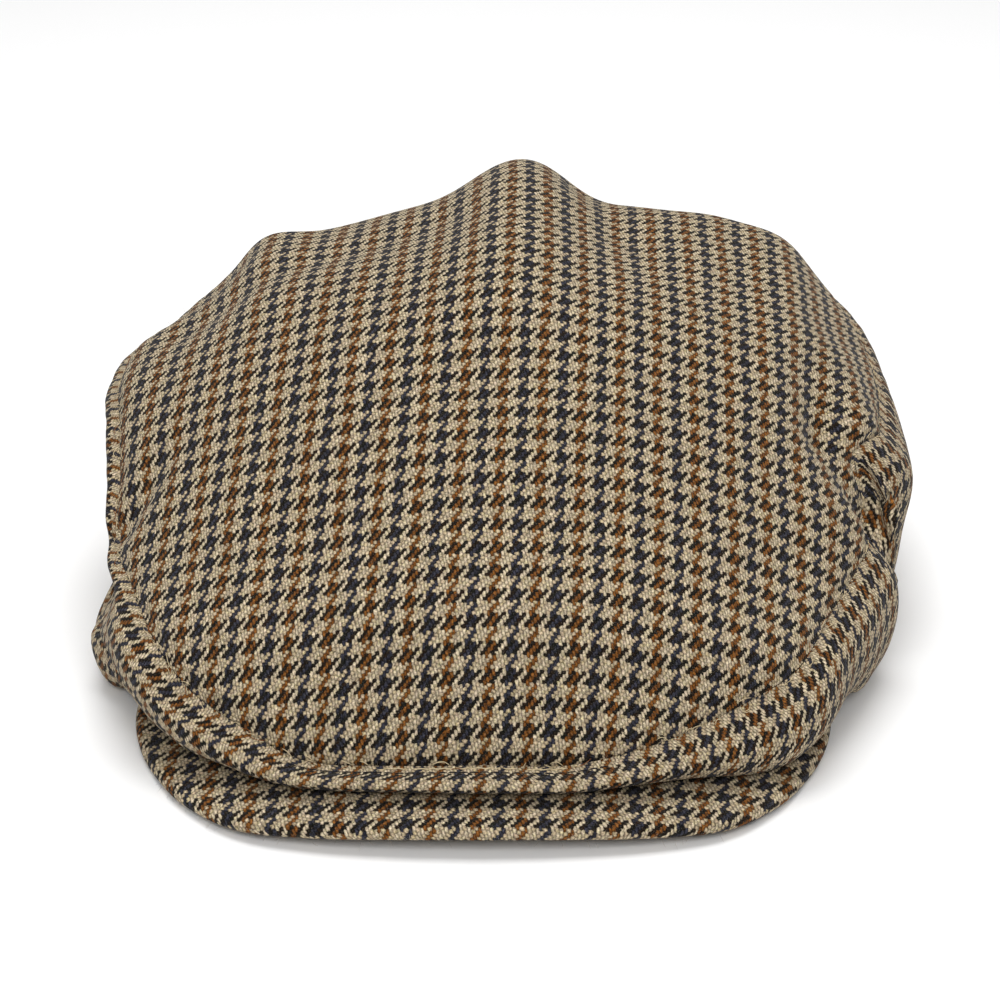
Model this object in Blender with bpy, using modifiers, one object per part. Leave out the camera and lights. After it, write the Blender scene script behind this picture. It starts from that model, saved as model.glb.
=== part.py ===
"""A flat cap of checked wool cloth, resting on a surface: top panel, side band and covered peak.

The crown is made the way a tailor drapes it. The top panel is a flat pattern piece, whose outline is a
table of notches, laid over a spine that runs front to back. Each row of its cloth bends down to both
sides as the table of sections says, and folds are added as ridges and valleys between two points of the
cloth. The side band runs from the seam round the panel down to the rim of the head opening, and at the
front it turns under and lies on the peak. +X is the wearer's left side as seen from the front (right in
the view), +Y runs to the back of the head, +Z is up, and the cap stands on the plane z = 0.
"""
import math

import bmesh
import bpy
import numpy as np

MM = 0.001

# Driving sizes in millimetres
CROWN_LENGTH = 232.0
CROWN_HEIGHT = 106.0
PANEL_LENGTH = 262.0
PANEL_HALF_WIDTH = 128.0
HEAD_LENGTH = 200.0
HEAD_WIDTH = 162.0
HEAD_SETBACK = 40.0
RIM_BAND = 7.0
BAND_BULGE = 12.0
PEAK_WIDTH = 193.0
PEAK_REACH = 15.0
PEAK_RUN = 108.0
PEAK_THICKNESS = 4.0
PEAK_ARCH = 8.4
PEAK_SLOPE = 4.0
PEAK_MARGIN = 4.5
PEAK_FALL = 6.0
LAP_END = 20.0
CLOTH = 2.0
SEAM_GAP = 0.3
SEAM_DIP = 1.2
SEAM_WIDTH = 6.0
SEAM_ROLL = 4.0
RIDGE_HEIGHT = 14.0
FOLD_DEPTH = 4.0
SEAM_LENGTH = 760.0
BAND_DEPTH = 85.0

# How many faces: the panel's grid is square, and the band has four times as many round the seam
PANEL_FACES = 30
PEAK_SECTIONS = 44

# Spine of the crown: shares of CROWN_LENGTH back from the front seam, and of the height above the peak
SPINE = (
    # back  height
    (0.013, 0.065),
    (0.034, 0.180),
    (0.056, 0.300),
    (0.088, 0.425),
    (0.190, 0.585),
    (0.302, 0.770),
    (0.444, 0.935),
    (0.560, 0.995),
    (0.690, 1.010),
    (0.820, 1.005),
    (0.914, 0.945),
    (1.000, 0.815),
)

# Sections across the spine, at shares of PANEL_LENGTH from the front: the middle's shift to the right as
# a share of PANEL_HALF_WIDTH, then for each side the slope beside the spine, the slope at a side seam and
# how far the drop leans back from plumb, all in degrees
SECTIONS = (
    # along  shift  ridge_l  ridge_r  turn_l  turn_r  lean_l  lean_r
    (0.00, 0.000, 5.0, 4.0, 38.0, 46.0, 46.0, 25.0),
    (0.10, 0.004, 9.0, 7.0, 44.0, 50.0, 46.0, 25.0),
    (0.20, 0.008, 10.0, 8.0, 46.0, 50.0, 44.0, 24.0),
    (0.35, 0.016, 10.0, 8.0, 46.0, 50.0, 33.0, 22.0),
    (0.50, 0.032, 7.5, 7.0, 44.0, 50.0, 25.0, 18.0),
    (0.65, 0.055, 4.5, 5.5, 47.5, 50.0, 16.0, 12.0),
    (0.80, 0.070, 4.0, 3.0, 53.0, 52.5, 6.0, 6.0),
    (1.00, 0.080, 6.0, 2.0, 56.0, 60.0, -20.0, -20.0),
)
SECTION_POWER = 1.7
SPINE_ROUND = 0.11

# Outline of the top panel's pattern piece, clockwise from the front: shares of PANEL_HALF_WIDTH and
# of PANEL_LENGTH
NOTCHES = (
    # side    along
    (0.000, 0.000),
    (-0.190, 0.001),
    (-0.370, 0.010),
    (-0.515, 0.050),
    (-0.655, 0.100),
    (-0.750, 0.160),
    (-0.828, 0.229),
    (-0.905, 0.305),
    (-0.912, 0.397),
    (-0.935, 0.490),
    (-0.982, 0.600),
    (-0.955, 0.700),
    (-0.840, 0.820),
    (-0.610, 0.930),
    (-0.320, 0.985),
    (0.000, 1.000),
    (0.340, 0.985),
    (0.640, 0.930),
    (0.860, 0.830),
    (0.960, 0.710),
    (0.985, 0.600),
    (0.958, 0.510),
    (0.875, 0.442),
    (0.945, 0.395),
    (0.932, 0.352),
    (0.870, 0.295),
    (0.780, 0.225),
    (0.675, 0.141),
    (0.527, 0.082),
    (0.330, 0.026),
    (0.165, 0.002),
)

# Folds of the top panel: from one point of the cloth to another, as shares like the notches. Rises are
# shares of RIDGE_HEIGHT, widths of PANEL_HALF_WIDTH
PANEL_FOLDS = (
    # name             side   along  rise   side   along  rise   width
    ("centre ridge",   0.00,  0.42,  0.00,  0.02,  0.92,  1.00,  0.150),
    ("ridge valley",   0.17,  0.88, -0.20,  0.33,  0.66, -0.10,  0.080),
    ("right shoulder", 0.42,  0.60,  0.00,  0.50,  0.86,  0.25,  0.110),
    ("right corner",   0.70,  0.52,  0.10,  0.66,  0.84,  0.40,  0.110),
    ("right drape",    0.70,  0.60,  0.00,  0.77,  0.45, -0.28,  0.065),
    ("drape to seam",  0.79,  0.43, -0.10,  0.94,  0.38, -0.42,  0.060),
    ("right puff",     0.84,  0.60,  0.10,  0.90,  0.50,  0.25,  0.080),
    ("brow",           0.10,  0.15,  0.04,  0.84,  0.35,  0.10,  0.070),
    ("left valley",   -0.80,  0.63, -0.12, -0.17,  0.76, -0.10,  0.070),
    ("left horizon",  -0.92,  0.70, -0.10, -0.72,  0.78, -0.12,  0.070),
    ("left pull",     -0.68,  0.44, -0.02, -0.88,  0.32, -0.26,  0.045),
    ("left shoulder", -0.55,  0.55,  0.00, -0.61,  0.82,  0.40,  0.100),
    ("left corner",   -0.86,  0.40,  0.00, -0.96,  0.70,  0.26,  0.100),
)

# Side band, by share of the way round the seam from the back by the left side. Three places on the way
# down: how far each lies outside the seam, as a share of BAND_BULGE, and how far down from the seam to
# what the band rests on
BAND = (
    # round  brow_out  brow_down  bulge_out  bulge_down  foot_out  foot_down
    (0.000,  0.40, 0.18,  0.95, 0.50,  0.95, 0.84),
    (0.125,  0.40, 0.18,  0.80, 0.50,  0.70, 0.86),
    (0.190,  0.20, 0.18,  0.40, 0.50,  0.30, 0.87),
    (0.250,  0.16, 0.18,  0.22, 0.50,  0.10, 0.88),
    (0.281,  0.02, 0.18, -0.06, 0.66,  0.02, 0.92),
    (0.312,  0.02, 0.14,  0.60, 0.74,  0.16, 0.94),
    (0.330,  0.10, 0.14,  0.86, 0.58,  0.20, 0.94),
    (0.345,  0.32, 0.13,  0.82, 0.54,  0.20, 0.94),
    (0.360,  0.58, 0.14,  0.68, 0.58,  0.22, 0.90),
    (0.375,  0.68, 0.16,  0.62, 0.54,  0.20, 0.84),
    (0.406,  0.62, 0.18,  0.68, 0.46,  0.46, 0.72),
    (0.438,  0.36, 0.15,  0.64, 0.33,  0.56, 0.49),
    (0.500,  0.39, 0.15,  0.68, 0.31,  0.61, 0.45),
    (0.562,  0.41, 0.16,  0.69, 0.38,  0.59, 0.57),
    (0.594,  0.58, 0.18,  0.84, 0.52,  0.66, 0.84),
    (0.625,  0.62, 0.18,  0.76, 0.54,  0.34, 0.88),
    (0.656,  0.62, 0.16,  0.75, 0.54,  0.30, 0.92),
    (0.688,  0.48, 0.16,  0.72, 0.52,  0.25, 0.92),
    (0.720,  0.80, 0.16,  0.95, 0.45,  0.45, 0.90),
    (0.750,  0.66, 0.16,  0.70, 0.48,  0.30, 0.88),
    (0.875,  0.40, 0.18,  0.80, 0.50,  0.70, 0.86),
    (1.000,  0.40, 0.18,  0.95, 0.50,  0.95, 0.84),
)

# Outer edge of the peak from its tip to its end: shares of half PEAK_WIDTH and of PEAK_RUN
PEAK_OUTLINE = (
    # side  back
    (0.000, 0.000),
    (0.230, 0.008),
    (0.450, 0.030),
    (0.650, 0.082),
    (0.802, 0.198),
    (0.900, 0.329),
    (0.965, 0.461),
    (1.000, 0.608),
    (0.985, 0.746),
    (0.920, 0.882),
    (0.790, 1.000),
)

# Folds of the side band: round the seam and down from it as shares, rises as shares of FOLD_DEPTH, and
# the width in millimetres
BAND_FOLDS = (
    # name           round  down   rise   round  down   rise  width
    ("left crease",  0.290, 0.22, -0.40,  0.365, 0.40, -1.00, 5.0),
    ("left roll",    0.300, 0.56,  0.30,  0.350, 0.56,  0.50, 9.0),
    ("right crease", 0.698, 0.00, -0.20,  0.712, 0.45, -0.90, 6.0),
    ("right roll",   0.735, 0.06,  0.10,  0.745, 0.25,  0.20, 12.0),
)
# Where the band's lines of points lie on the way from the seam to the rim
BAND_ROWS = (0.0, 0.05, 0.12, 0.20, 0.29, 0.38, 0.47, 0.56, 0.65, 0.73, 0.81, 0.90, 1.0)

CLOTH_COLOUR = (0.19, 0.14, 0.093, 1.0)


def curve(rows, column, at):
    """A smooth curve through one column of a table, read at a share of its first column."""
    table = np.array([[row[0], row[column]] for row in rows], float)
    return smooth(table[:, 0], table[:, 1], at)


def smooth(known, values, at):
    """Cubic curve through known places, with the slopes of the neighbouring chords."""
    at = np.clip(np.asarray(at, float), known[0], known[-1])
    step = np.diff(known)
    chord = np.diff(values) / step
    slope = np.empty_like(values)
    slope[0] = chord[0]
    slope[-1] = chord[-1]
    slope[1:-1] = (chord[:-1] * step[1:] + chord[1:] * step[:-1]) / (step[:-1] + step[1:])
    i = np.clip(np.searchsorted(known, at, side="right") - 1, 0, len(step) - 1)
    t = (at - known[i]) / step[i]
    start = (1 + 2 * t) * (1 - t) ** 2 * values[i] + t * (1 - t) ** 2 * step[i] * slope[i]
    end = t ** 2 * (3 - 2 * t) * values[i + 1] + t ** 2 * (t - 1) * step[i] * slope[i + 1]
    return start + end


def closed_curve(points, count):
    """A smooth closed curve through points, read at equal shares of its chord length from the first."""
    loop = np.array(points, float)
    loop = np.vstack([loop[-2:], loop, loop[:3]])
    along = np.concatenate([[0], np.cumsum(np.hypot(*np.diff(loop, axis=0).T))])
    start, end = along[2], along[-3]
    at = start + (end - start) * np.arange(count) / count
    return np.stack([smooth(along, loop[:, k], at) for k in (0, 1)], axis=1)


def peak_sag(x, y):
    """How much lower the peak lies than its tip, from its arch across and its slope to the front."""
    return PEAK_ARCH * (x / (PEAK_WIDTH / 2)) ** 2 - (y + PEAK_REACH) * math.tan(math.radians(PEAK_SLOPE))


def peak_edge(share):
    """Plan of the peak's outer edge, from its left end (-1) through its tip (0) to its right end (1)."""
    known = np.linspace(0, 1, len(PEAK_OUTLINE))
    side = smooth(known, np.array([row[0] for row in PEAK_OUTLINE]), np.abs(share))
    run = smooth(known, np.array([row[1] for row in PEAK_OUTLINE]), np.abs(share))
    return np.sign(share) * side * PEAK_WIDTH / 2, run * PEAK_RUN - PEAK_REACH


def peak_top(x, y):
    """Height of the peak's upper side, whose lower edge just touches the surface at both sides."""
    deepest = peak_sag(*peak_edge(np.linspace(0, 1, 81))).max()
    return deepest + PEAK_THICKNESS - peak_sag(x, y)


def rim_plan(angle):
    """Plan of the head opening's edge; angle 0 is the front, and positive angles go to the right."""
    middle = HEAD_SETBACK + HEAD_LENGTH / 2
    return HEAD_WIDTH / 2 * np.sin(angle), middle - HEAD_LENGTH / 2 * np.cos(angle)


def spine(along):
    """Place of the crown's middle line, at a distance along the cloth."""
    shares = np.array(SPINE)
    seat = peak_top(0.0, 0.0) + SEAM_GAP
    known = np.arange(len(SPINE), dtype=float)
    fine = np.linspace(0, len(SPINE) - 1, 600)
    back = smooth(known, shares[:, 0] * CROWN_LENGTH, fine)
    height = seat + smooth(known, shares[:, 1] * (CROWN_HEIGHT - seat), fine)
    run = np.concatenate([[0], np.cumsum(np.hypot(np.diff(back), np.diff(height)))])
    at = np.asarray(along) / PANEL_LENGTH * run[-1]
    before = np.minimum(at, 0.0)
    after = np.maximum(at - run[-1], 0.0)
    places = []
    for line in (back, height):
        first = (line[2] - line[0]) / (run[2] - run[0])
        last = (line[-1] - line[-3]) / (run[-1] - run[-3])
        places.append(np.interp(at, run, line) + before * first + after * last)
    return places


def draped(side, along):
    """Where the cloth of the top panel lies, without its folds."""
    side = np.asarray(side, float)
    along = np.asarray(along, float)
    share = along / PANEL_LENGTH
    left = side < 0
    ridge = np.radians(np.where(left, curve(SECTIONS, 2, share), curve(SECTIONS, 3, share)))
    turn = np.radians(np.where(left, curve(SECTIONS, 4, share), curve(SECTIONS, 5, share)))
    lean = np.radians(np.where(left, curve(SECTIONS, 6, share), curve(SECTIONS, 7, share)))
    reach = np.zeros_like(side)
    drop = np.zeros_like(side)
    steps = 24
    for i in range(steps):
        out = np.abs(side) / PANEL_HALF_WIDTH * (i + 0.5) / steps
        slope = ridge * np.tanh(out / SPINE_ROUND) + (turn - ridge) * out ** SECTION_POWER
        reach += np.cos(slope) * np.abs(side) / steps
        drop += np.sin(slope) * np.abs(side) / steps
    back, height = spine(along)
    x = curve(SECTIONS, 1, share) * PANEL_HALF_WIDTH + np.sign(side) * reach
    return np.stack([x, back + drop * np.sin(lean), height - drop * np.cos(lean)], axis=-1)


def fold_rise(side, along):
    """How far the folds stand out of the top panel."""
    rise = np.zeros(np.shape(side))
    for _, side_a, along_a, rise_a, side_b, along_b, rise_b, width in PANEL_FOLDS:
        a = np.array([side_a * PANEL_HALF_WIDTH, along_a * PANEL_LENGTH])
        b = np.array([side_b * PANEL_HALF_WIDTH, along_b * PANEL_LENGTH])
        way = b - a
        t = ((side - a[0]) * way[0] + (along - a[1]) * way[1]) / way.dot(way)
        t = np.clip(t, 0, 1)
        off = np.hypot(side - a[0] - t * way[0], along - a[1] - t * way[1])
        height = (rise_a + (rise_b - rise_a) * t) * RIDGE_HEIGHT
        rise += height * np.exp(-(off / (width * PANEL_HALF_WIDTH)) ** 2)
    return rise


def panel_point(side, along, inset=None):
    """The top panel's outer surface, with its folds. Inset is the distance to the seam, where it dips."""
    nudge = 0.5
    here = draped(side, along)
    across = draped(side + nudge, along) - draped(side - nudge, along)
    ahead = draped(side, along + nudge) - draped(side, along - nudge)
    normal = np.cross(across, ahead)
    normal /= np.linalg.norm(normal, axis=-1, keepdims=True)
    rise = fold_rise(side, along)
    if inset is not None:
        rise = rise - SEAM_DIP * np.exp(-(inset / SEAM_WIDTH) ** 2 * 4)
    return here + normal * rise[..., None]


def square_on_outline(outline, faces):
    """A square grid pulled out to a closed outline: flat points, and each one's share of the way out."""
    middle = np.array([0.0, PANEL_LENGTH * 0.5])
    angles = np.unwrap(np.arctan2(*(outline - middle).T))
    reach = np.linalg.norm(outline - middle, axis=1)
    order = np.argsort(np.mod(angles, 2 * math.pi))
    angles = np.mod(angles, 2 * math.pi)[order]
    reach = reach[order]
    angles = np.concatenate([angles - 2 * math.pi, angles, angles + 2 * math.pi])
    reach = np.tile(reach, 3)
    u, v = np.meshgrid(np.linspace(-1, 1, faces + 1), np.linspace(-1, 1, faces + 1), indexing="ij")
    x = u * np.sqrt(1 - v ** 2 / 2)
    y = v * np.sqrt(1 - u ** 2 / 2)
    share = np.hypot(x, y)
    angle = np.mod(np.arctan2(x, y), 2 * math.pi)
    out = np.interp(angle, angles, reach) * share
    return middle[0] + out * np.sin(angle), middle[1] + out * np.cos(angle), share, np.interp(angle, angles, reach)


def seam_order(faces):
    """Grid places round the panel's edge, from the back's middle by the left side to the front and on."""
    half = faces // 2
    back_left = [(i, faces) for i in range(half, 0, -1)]
    left = [(0, j) for j in range(faces, 0, -1)]
    front = [(i, 0) for i in range(0, faces)]
    right = [(faces, j) for j in range(0, faces)]
    back_right = [(i, faces) for i in range(faces, half, -1)]
    return back_left + left + front + right + back_right


def band_fold_rise(round_share, down):
    """How far the folds stand out of the side band."""
    rise = 0.0
    for _, round_a, down_a, rise_a, round_b, down_b, rise_b, width in BAND_FOLDS:
        way = np.array([(round_b - round_a) * SEAM_LENGTH, (down_b - down_a) * BAND_DEPTH])
        dx = (round_share - round_a) * SEAM_LENGTH
        dy = (down - down_a) * BAND_DEPTH
        t = np.clip((dx * way[0] + dy * way[1]) / way.dot(way), 0, 1)
        off = np.hypot(dx - t * way[0], dy - t * way[1])
        rise = rise + (rise_a + (rise_b - rise_a) * t) * FOLD_DEPTH * np.exp(-(off / width) ** 2)
    return rise


def unit(vectors):
    return vectors / np.linalg.norm(vectors, axis=-1, keepdims=True)


def band_grid(seam, outward):
    """The side band's outer surface: one line of points down from each place on the seam."""
    count = len(seam)
    round_share = np.arange(count) / (count - 1)
    x, y = seam[:, 0], seam[:, 1]
    middle = HEAD_SETBACK + HEAD_LENGTH / 2
    angle = np.arctan2(x / HEAD_WIDTH, (middle - y) / HEAD_LENGTH)
    rim_x, rim_y = rim_plan(angle)
    lap = np.clip(1 - (rim_y - PEAK_RUN + PEAK_REACH - PEAK_MARGIN) / LAP_END, 0, 1)
    lap = lap * lap * (3 - 2 * lap)
    rim = np.stack([rim_x, rim_y, lap * (peak_top(rim_x, rim_y) + SEAM_GAP)], axis=1)
    out = unit(np.stack([np.sin(angle), -np.cos(angle), 0 * angle], axis=1))
    fall = math.tan(math.radians(PEAK_SLOPE))
    along_peak = unit(out + np.array([0, 0, fall]) * out[:, 1:2])
    start = rim + RIM_BAND * (lap[:, None] * along_peak + (1 - lap)[:, None] * np.array([0, 0, 1.0]))
    start = rim + RIM_BAND * unit(start - rim)
    top = seam + outward * SEAM_GAP
    knots = [top, top + outward * SEAM_ROLL]
    for column in (1, 3, 5):
        away = curve(BAND, column, round_share)[:, None] * BAND_BULGE
        down = curve(BAND, column + 1, round_share)
        point = seam + out * away
        low = ground(point[:, 0], point[:, 1])
        point[:, 2] = seam[:, 2] + (low - seam[:, 2]) * down
        knots.append(point)
    tuck = knots[-1] * 0.5 + start * 0.5
    tuck[:, 2] = np.maximum(tuck[:, 2] * 0.6, ground(tuck[:, 0], tuck[:, 1]) + 0.4)
    knots += [tuck, start]
    grid = np.array(through(knots, BAND_ROWS) + [rim])
    grid = fold_band(grid, round_share)
    grid[..., 2] = np.maximum(grid[..., 2], ground(grid[..., 0], grid[..., 1]))
    grid[-1, :, 2] = rim[:, 2]
    return grid


def through(knots, shares):
    """Lines of points on smooth curves through the knots, at shares of each curve's length."""
    knots = np.array(knots)
    lines = np.empty((len(shares),) + knots.shape[1:])
    for i in range(knots.shape[1]):
        line = knots[:, i]
        run = np.concatenate([[0], np.cumsum(np.linalg.norm(np.diff(line, axis=0), axis=1))])
        fine = np.linspace(0, run[-1], 200)
        path = np.stack([smooth(run, line[:, k], fine) for k in range(3)], axis=1)
        length = np.concatenate([[0], np.cumsum(np.linalg.norm(np.diff(path, axis=0), axis=1))])
        for k in range(3):
            lines[:, i, k] = np.interp(np.array(shares) * length[-1], length, path[:, k])
    return list(lines)


def peak_plan():
    """Closed outline of the peak in plan: its outer edge, then the rim back."""
    shares = np.linspace(-1, 1, 121)
    edge = np.stack(peak_edge(shares), axis=1)
    end = peak_end_angle()
    rim = np.stack(rim_plan(np.linspace(end, -end, 81)), axis=1)
    return np.vstack([edge, rim])


def peak_end_angle():
    middle = HEAD_SETBACK + HEAD_LENGTH / 2
    return math.acos((middle - (PEAK_RUN - PEAK_REACH)) / (HEAD_LENGTH / 2))


def ground(x, y):
    """Height of what lies under the band: the peak with a gap, falling to the surface just outside it."""
    plan = peak_plan()
    x = np.asarray(x, float)
    y = np.asarray(y, float)
    apart = np.full(x.shape, 1e9)
    inside = np.zeros(x.shape, bool)
    for (ax, ay), (bx, by) in zip(plan, np.roll(plan, -1, axis=0)):
        wx, wy = bx - ax, by - ay
        size = wx * wx + wy * wy
        if size == 0.0:
            continue
        t = np.clip(((x - ax) * wx + (y - ay) * wy) / size, 0, 1)
        apart = np.minimum(apart, np.hypot(x - ax - t * wx, y - ay - t * wy))
        if ay != by:
            crossing = (ay > y) != (by > y)
            inside ^= crossing & (x < ax + (y - ay) / (by - ay) * wx)
    apart = np.where(inside, -apart, apart)
    fade = np.clip(1 - (apart - PEAK_MARGIN) / PEAK_FALL, 0, 1)
    fade = fade * fade * (3 - 2 * fade)
    return (peak_top(x, y) + SEAM_GAP) * fade


def fold_band(grid, round_share):
    """Moves the band's points along its own normals by the folds and by the dip beside the seam."""
    across = np.gradient(grid, axis=1)
    downward = np.gradient(grid, axis=0)
    normal = unit(np.cross(downward, across))
    shares = np.array(list(BAND_ROWS) + [1.0])
    rise = band_fold_rise(round_share[None, :], shares[:, None])
    fade = np.clip((1 - shares) / 0.25, 0, 1)[:, None]
    dip = SEAM_DIP * np.exp(-(shares[:, None] * BAND_DEPTH / SEAM_WIDTH) ** 2 * 4)
    return grid + normal * (rise * fade - dip)[..., None]


def mesh_object(name, rows, material, collection):
    """An object from rows of points, which are joined by square faces."""
    mesh = bpy.data.meshes.new(name)
    build = bmesh.new()
    verts = [[build.verts.new(point * MM) for point in row] for row in rows]
    for row, after in zip(verts, verts[1:]):
        for i in range(len(row) - 1):
            build.faces.new((row[i], row[i + 1], after[i + 1], after[i]))
    bmesh.ops.recalc_face_normals(build, faces=build.faces)
    build.to_mesh(mesh)
    build.free()
    mesh.shade_smooth()
    mesh.materials.append(material)
    thing = bpy.data.objects.new(name, mesh)
    collection.objects.link(thing)
    return thing


def face_outward(thing):
    """Turns an open shell's faces away from the inside of the crown."""
    mesh = thing.data
    inside = np.array([0.0, CROWN_LENGTH * 0.5, CROWN_HEIGHT * 0.4]) * MM
    centres = np.array([face.center for face in mesh.polygons])
    normals = np.array([face.normal for face in mesh.polygons])
    if np.sum((centres - inside) * normals) < 0:
        mesh.flip_normals()


def thicken(thing):
    """Gives an open surface the thickness of the cloth, on its inner side."""
    shell = thing.modifiers.new("cloth", "SOLIDIFY")
    shell.thickness = CLOTH * MM
    shell.offset = -1.0
    shell.use_quality_normals = True


def peak_object(material, collection):
    """The covered peak: a curved board with a round outer edge, from the rim out to its outline."""
    shares = np.linspace(-1, 1, PEAK_SECTIONS + 1)
    edge_x, edge_y = peak_edge(shares)
    rim_x, rim_y = rim_plan(shares * peak_end_angle())
    half = PEAK_THICKNESS / 2
    mesh = bpy.data.meshes.new("peak")
    build = bmesh.new()
    rings = []
    for x, y, inner_x, inner_y in zip(edge_x, edge_y, rim_x, rim_y):
        inner = np.array([inner_x, inner_y])
        way = np.array([x, y]) - inner
        width = np.linalg.norm(way)
        way = way / width
        round_edge = min(half, width * 0.3)
        profile = [(0.0, -half), (0.33, -half), (0.66, -half)]
        profile = [(share * (width - round_edge), height) for share, height in profile]
        for turn in np.radians((-90, -45, 0, 45, 90)):
            profile.append((width - round_edge + round_edge * math.cos(turn), half * math.sin(turn)))
        profile += [(share * (width - round_edge), half) for share in (0.66, 0.33, 0.0)]
        ring = []
        for out, height in profile:
            px, py = inner + way * out
            ring.append(build.verts.new(np.array([px, py, peak_top(px, py) - half + height]) * MM))
        rings.append(ring)
    for ring, after in zip(rings, rings[1:]):
        for i in range(len(ring)):
            k = (i + 1) % len(ring)
            build.faces.new((ring[i], ring[k], after[k], after[i]))
    build.faces.new(rings[0])
    build.faces.new(rings[-1])
    bmesh.ops.recalc_face_normals(build, faces=build.faces)
    build.to_mesh(mesh)
    build.free()
    mesh.materials.append(material)
    mesh.shade_smooth()
    thing = bpy.data.objects.new("peak", mesh)
    collection.objects.link(thing)
    return thing


def cloth_material():
    material = bpy.data.materials.new("checked_cloth")
    material.use_nodes = True
    shader = material.node_tree.nodes["Principled BSDF"]
    shader.inputs["Base Color"].default_value = CLOTH_COLOUR
    shader.inputs["Roughness"].default_value = 0.9
    shader.inputs["Metallic"].default_value = 0.0
    return material


def main():
    for thing in list(bpy.data.objects):
        bpy.data.objects.remove(thing, do_unlink=True)
    cap = bpy.data.collections.new("flat_cap")
    bpy.context.scene.collection.children.link(cap)
    cloth = cloth_material()

    outline = closed_curve([(s * PANEL_HALF_WIDTH, a * PANEL_LENGTH) for s, a in NOTCHES], 240)
    side, along, share, reach = square_on_outline(outline, PANEL_FACES)
    points = panel_point(side, along, (1 - share) * reach)
    panel = mesh_object("top_panel", points, cloth, cap)

    order = seam_order(PANEL_FACES)
    places = order + order[:1]
    seam_side = np.array([side[i, j] for i, j in places])
    seam_along = np.array([along[i, j] for i, j in places])
    grid = band_grid(panel_point(seam_side, seam_along), seam_outward(seam_side, seam_along))
    back = grid[:, [0, -1], 0]
    grid[:, 0, 0] = back[:, 0] - SEAM_GAP / 2
    grid[:, -1, 0] = back[:, 1] + SEAM_GAP / 2
    band = mesh_object("side_band", grid, cloth, cap)

    for thing in (panel, band):
        face_outward(thing)
        thicken(thing)
    peak = peak_object(cloth, cap)
    place_on_origin((panel, band, peak), cap)


def seam_outward(side, along):
    """Direction in which the band leaves the panel: in the cloth's surface, square to the seam."""
    nudge = 0.5
    here = draped(side, along)
    across = unit(draped(side + nudge, along) - here)
    ahead = unit(draped(side, along + nudge) - here)
    normal = unit(np.cross(across, ahead))
    run = np.gradient(np.vstack([here[-2:-1], here, here[1:2]]), axis=0)[1:-1]
    out = unit(np.cross(unit(run), normal))
    middle = here.mean(axis=0)
    flip = np.sign(np.sum((here - middle) * out, axis=1))
    return out * flip[:, None]


def place_on_origin(things, collection):
    """Hangs the pieces on an empty, so that the origin is under the middle of the whole cap."""
    bpy.context.view_layer.update()
    graph = bpy.context.evaluated_depsgraph_get()
    corners = []
    for thing in things:
        shape = thing.evaluated_get(graph).to_mesh()
        co = np.empty(len(shape.vertices) * 3, np.float32)
        shape.vertices.foreach_get("co", co)
        corners.append(co.reshape(-1, 3).min(axis=0))
        corners.append(co.reshape(-1, 3).max(axis=0))
    low = np.min(corners, axis=0)
    high = np.max(corners, axis=0)
    base = bpy.data.objects.new("flat_cap_base", None)
    base.location = (-(low[0] + high[0]) / 2, -(low[1] + high[1]) / 2, -low[2])
    collection.objects.link(base)
    for thing in things:
        thing.parent = base


if __name__ == "__main__":
    main()
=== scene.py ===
"""Looks of the checked wool flat cap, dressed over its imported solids.

The three cloth surfaces come from the same sizes and tables as the solids, with finer faces, and carry the
cloth's own coordinates in millimetres, so that the weave follows its folds. The cloth is a gun-club check in
a two-by-two twill, worked out thread by thread in the material.
"""
import math
from functools import partialmethod

import bmesh
import bpy
import numpy as np
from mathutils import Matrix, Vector


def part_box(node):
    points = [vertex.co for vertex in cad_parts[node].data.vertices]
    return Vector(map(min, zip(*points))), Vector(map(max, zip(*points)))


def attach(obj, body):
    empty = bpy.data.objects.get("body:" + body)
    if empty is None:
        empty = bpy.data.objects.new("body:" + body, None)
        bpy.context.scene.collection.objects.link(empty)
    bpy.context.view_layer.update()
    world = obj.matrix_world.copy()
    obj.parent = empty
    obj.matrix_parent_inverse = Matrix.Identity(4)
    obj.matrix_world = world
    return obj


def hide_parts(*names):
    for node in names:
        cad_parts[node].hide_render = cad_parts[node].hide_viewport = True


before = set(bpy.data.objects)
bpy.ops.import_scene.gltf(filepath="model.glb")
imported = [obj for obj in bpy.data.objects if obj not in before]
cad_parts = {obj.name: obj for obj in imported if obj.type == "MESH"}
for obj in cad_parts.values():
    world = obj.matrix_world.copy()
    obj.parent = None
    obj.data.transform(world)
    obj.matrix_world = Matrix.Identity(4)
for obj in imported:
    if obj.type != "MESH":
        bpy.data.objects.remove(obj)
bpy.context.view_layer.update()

MM = 0.001

# Driving sizes in millimetres
CROWN_LENGTH = 232.0
CROWN_HEIGHT = 106.0
PANEL_LENGTH = 262.0
PANEL_HALF_WIDTH = 128.0
HEAD_LENGTH = 200.0
HEAD_WIDTH = 162.0
HEAD_SETBACK = 40.0
RIM_BAND = 7.0
BAND_BULGE = 12.0
PEAK_WIDTH = 193.0
PEAK_REACH = 15.0
PEAK_RUN = 108.0
PEAK_THICKNESS = 4.0
PEAK_ARCH = 8.4
PEAK_SLOPE = 4.0
PEAK_MARGIN = 4.5
PEAK_FALL = 6.0
LAP_END = 20.0
CLOTH = 2.0
SEAM_GAP = 0.3
SEAM_DIP = 1.2
SEAM_WIDTH = 6.0
SEAM_ROLL = 4.0
RIDGE_HEIGHT = 14.0
FOLD_DEPTH = 4.0
SEAM_LENGTH = 760.0
BAND_DEPTH = 85.0

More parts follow.
